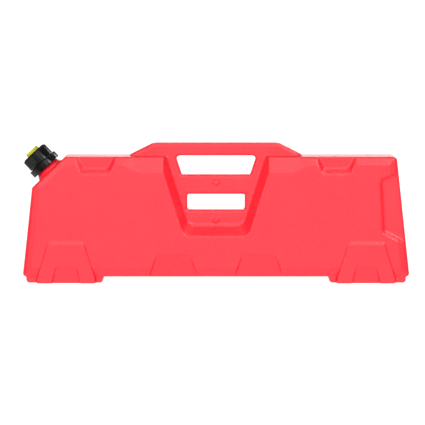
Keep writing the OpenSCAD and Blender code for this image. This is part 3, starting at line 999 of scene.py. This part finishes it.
def eased(stops: Sequence[Stop], steps: int = 5) -> list[tuple[float, float]]:
    """Rounds the corners of a closed profile.

    Args:
        stops: its corners.
        steps: pieces of each fillet.

    Returns:
        Radius and height of each point.
    """
    points: list[tuple[float, float]] = []
    for i, stop in enumerate(stops):
        at = Vector((stop.r, stop.z))
        if not stop.fillet:
            points.append((stop.r, stop.z))
            continue
        before, after = stops[i - 1], stops[(i + 1) % len(stops)]
        u = (Vector((before.r, before.z)) - at).normalized()
        v = (Vector((after.r, after.z)) - at).normalized()
        half = u.angle(v) / 2
        reach = stop.fillet / math.tan(half)
        middle = at + (u + v).normalized() * (stop.fillet / math.sin(half))
        start, end = at + u * reach - middle, at + v * reach - middle
        turn = start.angle_signed(end)
        for k in range(steps + 1):
            spoke = start.copy()
            spoke.rotate(Matrix.Rotation(-turn * k / steps, 2))
            points.append(tuple(middle + spoke))
    return points


@dataclass(frozen=True)
class Helix:
    """A round bead on a helix: a thread or a wire, in millimetres and turns."""

    radius: float
    bead: float
    low: float
    pitch: float
    turns: float
    steps: int = 56
    sides: int = 10

    def mesh(self, name: str, finish: Finish) -> Mesh:
        """Grows the bead.

        Args:
            name: the mesh's name.
            finish: its finish.

        Returns:
            The mesh along the Z axis.
        """
        sizes = {"Radius": self.radius * MM, "Bead": self.bead * MM, "Low": self.low * MM}
        sizes |= {"Rise": self.pitch * self.turns * MM, "Turns": self.turns}
        sizes |= {"Steps": self.steps, "Sides": self.sides}
        tree = FormTree(name, sizes)
        size = tree.given
        course = {"Resolution": size["Steps"], "Rotations": size["Turns"], "Height": size["Rise"]}
        course |= {"Start Radius": size["Radius"], "End Radius": size["Radius"]}
        path = tree.add("GeometryNodeCurveSpiral", course)
        circle = {"Resolution": size["Sides"], "Radius": size["Bead"]}
        bead = tree.add("GeometryNodeCurvePrimitiveCircle", circle)
        sweep = {"Curve": path, "Profile Curve": bead, "Fill Caps": True}
        swept = tree.add("GeometryNodeCurveToMesh", sweep)
        lift = tree.add("ShaderNodeCombineXYZ", {"Z": size["Low"]})
        placed = tree.add("GeometryNodeTransform", {"Geometry": swept, "Translation": lift})
        return tree.bake(placed, finish.material())


@dataclass(frozen=True)
class Ribs:
    """Upright ribs round a push button."""

    count: int
    circle: float
    rib: float
    low: float
    high: float
    sides: int = 8

    def mesh(self, name: str, finish: Finish) -> Mesh:
        """Sets the ribs.

        Args:
            name: the mesh's name.
            finish: their finish.

        Returns:
            The mesh along the Z axis.
        """
        sizes = {"Count": self.count, "Circle": self.circle * MM, "Rib": self.rib * MM}
        sizes |= {"Middle": (self.low + self.high) / 2 * MM, "Depth": (self.high - self.low) * MM}
        tree = FormTree(name, sizes)
        size = tree.given
        ring = tree.add("GeometryNodeMeshCircle", {"Vertices": size["Count"], "Radius": size["Circle"]})
        lift = tree.add("ShaderNodeCombineXYZ", {"Z": size["Middle"]})
        places = tree.add("GeometryNodeTransform", {"Geometry": ring, "Translation": lift})
        bar = {"Vertices": self.sides, "Radius": size["Rib"], "Depth": size["Depth"]}
        rib = tree.add("GeometryNodeMeshCylinder", bar)
        spread = tree.add("GeometryNodeInstanceOnPoints", {"Points": places, "Instance": rib})
        return tree.bake(spread, finish.material())


@dataclass
class Closure:
    """Screw ring, stored spout, grip cap and vent on the neck, with heights along its axis."""

    tank: Tank
    segments: int = 120
    sharp: float = 32.0
    flange_z: float = 26.0
    flange_top: float = 28.5
    ring_z: float = 13.5
    ring_top: float = 31.5
    ring_r: float = 42.75
    ring_edge: float = 1.2
    ring_pitch: float = 5.0
    lip_w: float = 5.0
    lip_h: float = 0.45
    run_gap: float = 0.35
    collar_r: float = 27.0
    collar_root_r: float = 25.8
    collar_bore: float = 22.5
    collar_top: float = 47.0
    nozzle_r: float = 22.5
    nozzle_tip_r: float = 13.0
    nozzle_wall: float = 2.5
    nozzle_len: float = 165.0
    nozzle_tip_len: float = 55.0
    nozzle_root: float = 12.0
    cap_z: float = 32.1
    cap_top: float = 64.1
    cap_r: float = 37.25
    cap_edge_w: float = 6.0
    cap_edge_h: float = 4.0
    cap_pitch: float = 6.0
    skirt_h: float = 6.0
    flat_d: float = 3.75
    flat_turn: float = 33.0
    flat_skin: float = 3.0
    flat_ease: float = 0.9
    flat_rows: int = 16
    side_rows: int = 44
    roof_z: float = 49.5
    well_z: float = 52.1
    gasket_w: float = 9.0
    seal_soft: float = 0.2
    button_r: float = 18.75
    button_z: float = 57.1
    button_top: float = 72.6
    button_wall: float = 2.5
    rib_h: float = 0.3
    stem_r: float = 3.0
    stem_hole_r: float = 3.8
    head_r: float = 8.0
    head_z: float = 46.0
    head_top: float = 48.0
    coil_r: float = 8.0
    wire_r: float = 0.6
    coil_turns: float = 5.5
    travel: float = 4.0
    turn: Matrix = field(init=False)

    def __post_init__(self) -> None:
        """Works out the neck's place and direction."""
        x, z = self.tank.neck_at
        spot = Vector((x * MM, 0.0, z * MM))
        self.turn = Matrix.Translation(spot) @ Matrix.Rotation(math.radians(-self.tank.cut_angle), 4, "Y")

    def placed(self, mesh: Mesh) -> Mesh:
        """Moves a mesh from the Z axis to the neck."""
        mesh.transform(self.turn)
        return mesh

    def thread(self, name: str, helix: Helix, finish: Finish, body: Body) -> None:
        """Puts a screw thread on a body."""
        dress(self.placed(helix.mesh(name, finish)), finish, body)

    def turned(
        self,
        name: str,
        stops: Sequence[Stop],
        rule: Radius | None = None,
        angles: Sequence[float] = (),
    ) -> Mesh:
        """Turns a closed profile round the neck's axis.

        Args:
            name: the mesh's name.
            stops: its corners, counter-clockwise.
            rule: a radius for a point's own radius, height and angle.
            angles: angles of its rows, where they aren't even.

        Returns:
            The mesh in its place.
        """
        rows = angles or [math.tau * k / self.segments for k in range(self.segments)]
        form = bmesh.new()
        rings = []
        for r, z in eased(stops):
            ring = []
            for angle in rows:
                size = r if rule is None else rule(r, z, angle)
                place = Vector((size * math.cos(angle), size * math.sin(angle), z))
                ring.append(form.verts.new(place * MM))
            rings.append(ring)
        for a, b in zip(rings, rings[1:] + rings[:1]):
            for k in range(len(rows)):
                n = (k + 1) % len(rows)
                form.faces.new((a[k], a[n], b[n], b[k]))
        bmesh.ops.remove_doubles(form, verts=form.verts, dist=1e-6)
        bmesh.ops.dissolve_degenerate(form, edges=form.edges, dist=1e-7)
        bmesh.ops.recalc_face_normals(form, faces=form.faces)
        mesh = bpy.data.meshes.new(name)
        form.to_mesh(mesh)
        form.free()
        mesh.shade_smooth()
        mesh.set_sharp_from_angle(angle=math.radians(self.sharp))
        return self.placed(mesh)

    def flat_radius(self, r: float, z: float, angle: float) -> float:
        """Gives the cap's radius at a finger flat, which ends over the skirt.

        Args:
            r: the radius without the flat.
            z: the height.
            angle: the angle round the axis.

        Returns:
            The radius with it.
        """
        if r < self.collar_r + self.flat_skin or z <= self.cap_z + self.skirt_h:
            return r
        off = (angle - math.radians(90.0 - self.flat_turn) + math.pi / 2) % math.pi - math.pi / 2
        return min(r, (self.cap_r - self.flat_d) / max(math.cos(off), 0.1))

    def flat_angles(self) -> list[float]:
        """Gives rows that meet the edges of both finger flats.

        Returns:
            Their angles.
        """
        half = math.acos((self.cap_r - self.flat_d) / self.cap_r)
        ease = math.radians(self.flat_ease)
        rows = [-half - ease, -half, -half + ease]
        count = self.flat_rows
        rows += [(-half + ease) + (half - ease) * 2 * k / count for k in range(1, count)]
        rows += [half - ease, half, half + ease]
        rest = math.pi - 2 * (half + ease)
        count = self.side_rows
        rows += [half + ease + rest * k / count for k in range(1, count)]
        start = math.radians(90.0 - self.flat_turn)
        return [start + side + row for side in (0.0, math.pi) for row in rows]

    def ring(self) -> None:
        """Makes the ring that screws on the neck, and its thread."""
        inner = self.tank.neck_r + self.run_gap
        lip = self.collar_r + self.run_gap
        stops = [
            Stop(inner, self.ring_z, 0.4),
            Stop(self.ring_r - self.ring_edge, self.ring_z, 0.5),
            Stop(self.ring_r, self.ring_z + self.ring_edge, 0.8),
            Stop(self.ring_r, self.ring_top - self.ring_edge, 0.8),
            Stop(self.ring_r - self.ring_edge, self.ring_top, 0.5),
            Stop(lip + self.lip_w, self.ring_top),
            Stop(lip + self.lip_w, self.ring_top + self.lip_h),
            Stop(lip, self.ring_top + self.lip_h),
            Stop(lip, self.flange_top, 0.3),
            Stop(inner, self.flange_top),
        ]
        dress(self.turned("closure_ring", stops), BLACK, Body.RING, ["screw_ring"])
        helix = Helix(inner, bead=1.1, low=self.ring_z + 4.5, pitch=self.ring_pitch, turns=0.9)
        self.thread("ring_thread", helix, BLACK, Body.RING)

    def cap(self) -> None:
        """Makes the cap with two finger flats over a full skirt, and its thread."""
        ledge = self.cap_z + self.skirt_h
        inner = self.collar_r + self.run_gap
        well = self.button_r + self.run_gap
        stops = [
            Stop(inner, self.cap_z, 0.4),
            Stop(self.cap_r - self.ring_edge, self.cap_z, 0.5),
            Stop(self.cap_r, self.cap_z + self.ring_edge, 0.8),
            Stop(self.cap_r, ledge),
            Stop(self.cap_r, ledge + 0.5),
            Stop(self.cap_r, self.cap_top - self.cap_edge_h, 1.4),
            Stop(self.cap_r - self.cap_edge_w, self.cap_top, 1.8),
            Stop(well, self.cap_top, 0.6),
            Stop(well, self.well_z, 0.5),
            Stop(self.stem_hole_r, self.well_z, 0.2),
            Stop(self.stem_hole_r, self.roof_z, 0.2),
            Stop(inner, self.roof_z, 0.5),
        ]
        mesh = self.turned("closure_cap", stops, self.flat_radius, self.flat_angles())
        dress(mesh, BLACK, Body.CAP, ["grip_cap"])
        helix = Helix(inner, bead=0.9, low=self.cap_z + 1.9, pitch=self.cap_pitch, turns=1.8)
        self.thread("cap_thread", helix, BLACK, Body.CAP)

    def spout(self) -> None:
        """Makes the pour spout, stored nose down in the neck, and its collar's thread."""
        tip = self.flange_z - self.nozzle_len
        taper = tip + self.nozzle_tip_len
        root = self.flange_z - self.nozzle_root
        bore = self.nozzle_r - self.nozzle_wall
        tip_bore = self.nozzle_tip_r - self.nozzle_wall
        stops = [
            Stop(tip_bore, tip, 0.6),
            Stop(self.nozzle_tip_r, tip, 1.2),
            Stop(self.nozzle_tip_r, taper, 20.0),
            Stop(self.nozzle_r, root, 10.0),
            Stop(self.nozzle_r, self.flange_z, 0.8),
            Stop(self.tank.neck_r, self.flange_z, 0.4),
            Stop(self.tank.neck_r, self.flange_top, 0.4),
            Stop(self.collar_root_r, self.flange_top, 0.6),
            Stop(self.collar_root_r, self.collar_top, 0.8),
            Stop(self.collar_bore, self.collar_top, 0.8),
            Stop(self.collar_bore, self.flange_top, 1.0),
            Stop(bore, self.flange_z, 1.0),
            Stop(bore, root, 10.0),
            Stop(tip_bore, taper, 20.0),
        ]
        dress(self.turned("stored_spout", stops), BLACK, Body.SPOUT, ["pour_spout"])
        helix = Helix(self.collar_root_r, bead=1.0, low=self.cap_z - 1.1, pitch=self.cap_pitch, turns=2.3)
        self.thread("spout_thread", helix, BLACK, Body.SPOUT)

    def seal(self, name: str, node: str, body: Body, radii: Span, faces: Span) -> None:
        """Makes a flat rubber ring with soft edges.

        Args:
            name: its name.
            node: the solid that it stands for.
            body: the body that it rides on.
            radii: its inner and outer radius.
            faces: the heights of its lower and upper face.
        """
        (inner, outer), (low, high) = radii, faces
        soft = min(high - low, outer - inner) * self.seal_soft
        corners = ((inner, low), (outer, low), (outer, high), (inner, high))
        dress(self.turned(name, [Stop(r, z, soft) for r, z in corners]), RUBBER, body, [node])

    def button(self) -> None:
        """Makes the vent's push button with its ribs."""
        roof = self.button_top - self.button_wall
        inner = self.button_r - self.button_wall
        boss = 2 * self.stem_r
        side = self.button_r - self.rib_h
        stops = [
            Stop(0.0, roof),
            Stop(self.stem_r, roof),
            Stop(self.stem_r, roof - boss, 0.3),
            Stop(boss, roof - boss, 0.5),
            Stop(boss, roof, 0.6),
            Stop(inner, roof, 0.8),
            Stop(inner, self.button_z, 0.4),
            Stop(side, self.button_z, 0.5),
            Stop(side, self.button_top, 1.6),
            Stop(0.0, self.button_top),
        ]
        mesh = self.turned("vent_push_button", stops)
        dress(mesh, YELLOW, Body.VENT, ["vent_button"])
        low, high = self.button_z + 1.0, self.button_top - 1.7
        ribs = Ribs(count=60, circle=side - 0.15, rib=0.45, low=low, high=high)
        dress(self.placed(ribs.mesh("vent_button_ribs", YELLOW)), YELLOW, Body.VENT)

    def stem(self) -> None:
        """Makes the vent's stem with its head."""
        stops = [
            Stop(0.0, self.head_z),
            Stop(self.head_r, self.head_z, 0.4),
            Stop(self.head_r, self.head_top, 0.4),
            Stop(self.stem_r, self.head_top, 0.4),
            Stop(self.stem_r, self.button_top - self.button_wall),
            Stop(0.0, self.button_top - self.button_wall),
        ]
        dress(self.turned("vent_rod", stops), BRASS, Body.VENT, ["vent_stem"])

    def spring(self) -> None:
        """Makes the vent's spring, from the cap's well up to the button's roof."""
        length = self.button_top - self.button_wall - self.well_z
        pitch = (length - 2 * self.wire_r) / self.coil_turns
        coil = Helix(self.coil_r, self.wire_r, self.well_z + self.wire_r, pitch, self.coil_turns)
        mesh = self.placed(coil.mesh("vent_coil", STEEL))
        obj = dress(mesh, STEEL, Body.CAP, ["vent_spring"])
        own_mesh(obj)

    def build(self) -> None:
        """Makes every piece of the closure."""
        tank = self.tank
        helix = Helix(tank.neck_root_r, bead=1.2, low=self.ring_z + 2.0, pitch=self.ring_pitch, turns=1.3)
        self.thread("neck_thread", helix, RED, Body.CAN)
        self.ring()
        self.cap()
        self.spout()
        radii, faces = (tank.neck_bore_r, tank.neck_root_r), (tank.neck_rim, self.flange_z)
        self.seal("neck_seal_ring", "neck_gasket", Body.CAN, radii, faces)
        radii, faces = (self.collar_r - self.gasket_w, self.collar_r), (self.collar_top, self.roof_z)
        self.seal("cap_seal_ring", "cap_gasket", Body.GASKET, radii, faces)
        radii, faces = (self.stem_r, self.head_r), (self.head_top, self.roof_z)
        self.seal("vent_seal_ring", "vent_seal", Body.VENT, radii, faces)
        self.button()
        self.stem()
        self.spring()


# Studio


@dataclass
class Studio:
    """Pale floor, soft lights and the camera at the photograph's angle."""

    pixels: float = 425.0
    mm_per_pixel: float = 2.5853
    distance: float = 4500.0
    elevation: float = 6.5
    azimuth: float = 0.0
    aim: tuple[float, float, float] = (-9.3, -55.0, 185.5)
    lamp_aim: tuple[float, float, float] = (0.0, 0.0, 0.18)
    sensor: float = 36.0
    soft: float = 2.06
    shade: float = 0.1
    dim: float = 0.1
    front: float = 0.6
    high: float = 1.6
    dip: float = 0.4
    low: float = 1.3
    above: float = 0.5
    over: float = 2.2
    back: float = 2.6
    rear: float = 3.0
    rear_wall: float = 0.5
    seen: float = 1.1
    floor_tone: float = 0.3
    floor_glow: float = 0.95

    def camera(self) -> None:
        """Makes the camera."""
        data = bpy.data.cameras.new("camera")
        data.sensor_width = self.sensor
        data.lens = self.sensor * self.distance / (self.pixels * self.mm_per_pixel)
        data.clip_end = 100.0
        cam = bpy.data.objects.new("camera", data)
        bpy.context.scene.collection.objects.link(cam)
        a, e = math.radians(self.azimuth), math.radians(self.elevation)
        back = Vector((math.sin(a) * math.cos(e), -math.cos(a) * math.cos(e), math.sin(e)))
        cam.location = (Vector(self.aim) + back * self.distance) * MM
        cam.rotation_mode = "QUATERNION"
        cam.rotation_quaternion = (-back).to_track_quat("-Z", "Y")
        bpy.context.scene.camera = cam

    def softbox(
        self,
        name: str,
        place: tuple[float, float, float],
        size: tuple[float, float],
        power: float,
        spread: bool = False,
    ) -> None:
        """Hangs a soft light that faces the can.

        Args:
            name: the light's name.
            place: its place in metres.
            size: its width and height in metres.
            power: its power in watts.
            spread: whether it lights the can too, and isn't only mirrored in it.
        """
        data = bpy.data.lights.new(name, "AREA")
        data.shape = "RECTANGLE"
        data.size, data.size_y = size
        data.energy = power
        lamp = bpy.data.objects.new(name, data)
        lamp.location = place
        aim = Vector(self.lamp_aim) - Vector(place)
        lamp.rotation_mode = "QUATERNION"
        lamp.rotation_quaternion = aim.to_track_quat("-Z", "Y")
        lamp.visible_diffuse = spread
        bpy.context.scene.collection.objects.link(lamp)

    def floor(self) -> None:
        """Lays the pale floor, which glows evenly and leaves the can's light to the studio."""
        mesh = bpy.data.meshes.new("floor")
        reach = 30.0
        corners = [(-reach, -reach, 0.0), (reach, -reach, 0.0), (reach, reach, 0.0), (-reach, reach, 0.0)]
        mesh.from_pydata(corners, [], [(0, 1, 2, 3)])
        tone = (self.floor_tone,) * 3
        paper = Finish(
            "floor_paper", None, tone, tone, Grain(4.0, 0.02, 0.05),
            roughness=0.9, spread=0.02, specular=0.1, glow=self.floor_glow,
        )
        sheet = piece_of(mesh, paper)
        sheet.visible_diffuse = False
        sheet.visible_glossy = False

    def surround(self) -> World:
        """Makes the studio: soft light from the front, and the walls that the can mirrors.

        Of these, the front is wide and pale, brightest above the camera, the back is narrow and bright,
        and the sides are dim. A low light behind the can shows its back. The camera itself sees white.

        Returns:
            The world.
        """
        world = bpy.data.worlds.new("studio")
        world.use_nodes = True
        world.node_tree.nodes.clear()
        sheet = NodeSheet(world.node_tree)
        way = sheet.add("ShaderNodeSeparateXYZ", {0: sheet.add("ShaderNodeTexCoord").outputs["Generated"]})

        def zone(*spans: tuple[str, float, float]) -> Node:
            """Gives a part of the studio.

            Args:
                spans: for each axis that bounds it, where its soft step starts and where it ends.

            Returns:
                The product of the steps.
            """
            whole = None
            for axis, low, high in spans:
                step = sheet.ramp(way.outputs[axis], low, high, interpolation_type="SMOOTHSTEP")
                whole = step if whole is None else sheet.math("MULTIPLY", whole, step)
            return whole

        upper = zone(("Z", 0.05, 0.4), ("Z", 0.85, 0.5), ("X", -0.5, -0.1))
        lower = zone(("Z", -0.12, -0.3), ("Z", -0.75, -0.55))
        level = sheet.math("MULTIPLY_ADD", upper, self.high, self.front)
        level = sheet.math("MULTIPLY_ADD", lower, -self.dip, level)
        wall = zone(("Y", -0.1, -0.6), ("X", 0.62, 0.2), ("X", -0.95, -0.6))
        light = sheet.math("MULTIPLY_ADD", wall, level, self.dim)
        ground = zone(("Z", -0.45, -0.7), ("X", -0.2, -0.5))
        ground = sheet.math("MAXIMUM", ground, zone(("Z", -0.85, -0.95)))
        light = sheet.math("MAXIMUM", light, sheet.math("MULTIPLY", ground, self.low))
        glows = (
            (zone(("Z", 0.6, 0.9)), self.above),
            (zone(("Z", 0.85, 0.95), ("Y", 0.08, -0.12)), self.over),
            (zone(("Y", 0.9, 0.97), ("Z", 0.03, 0.11), ("X", -0.2, -0.08)), self.back),
            (zone(("Y", 0.3, 0.8), ("Z", 0.02, -0.1)), self.rear_wall),
        )
        for place, power in glows:
            light = sheet.math("MULTIPLY_ADD", place, power, light)
        soft = sheet.add("ShaderNodeMix", {0: zone(("Y", -0.6, -0.1)), 2: self.soft, 3: self.shade})
        rear = zone(("Y", 0.3, 0.8), ("Z", 0.35, 0.05))
        soft = sheet.math("MULTIPLY_ADD", rear, self.rear, soft)
        ray = sheet.add("ShaderNodeLightPath").outputs
        around = sheet.add("ShaderNodeMix", {0: ray["Is Glossy Ray"], 2: soft, 3: light})
        strength = sheet.add("ShaderNodeMix", {0: ray["Is Camera Ray"], 2: around, 3: self.seen})
        lit = sheet.add("ShaderNodeBackground", {"Strength": strength, "Color": (1.0, 1.0, 1.0, 1.0)})
        sheet.add("ShaderNodeOutputWorld", {"Surface": lit})
        return world

    def build(self) -> None:
        """Sets the stage."""
        scene = bpy.context.scene
        scene.view_settings.view_transform = "Standard"
        scene.view_settings.look = "None"
        scene.world = self.surround()
        self.floor()
        self.softbox("key", (2.2, -2.6, 2.1), (1.6, 0.75), 46.0)
        self.softbox("fill", (-2.4, -2.8, 1.6), (2.4, 2.0), 20.0, True)
        self.softbox("side", (1.12, -0.03, 1.28), (0.35, 0.35), 2.6)
        self.softbox("rim", (2.0, 2.3, 1.9), (0.35, 1.4), 30.0)
        self.camera()


def main() -> None:
    """Builds the can and its stage in order."""
    logging.basicConfig(level=logging.INFO, format="%(name)s: %(message)s")
    Studio().build()
    tank = Tank()
    tank.build()
    Closure(tank).build()


if __name__ == "__main__":
    main()
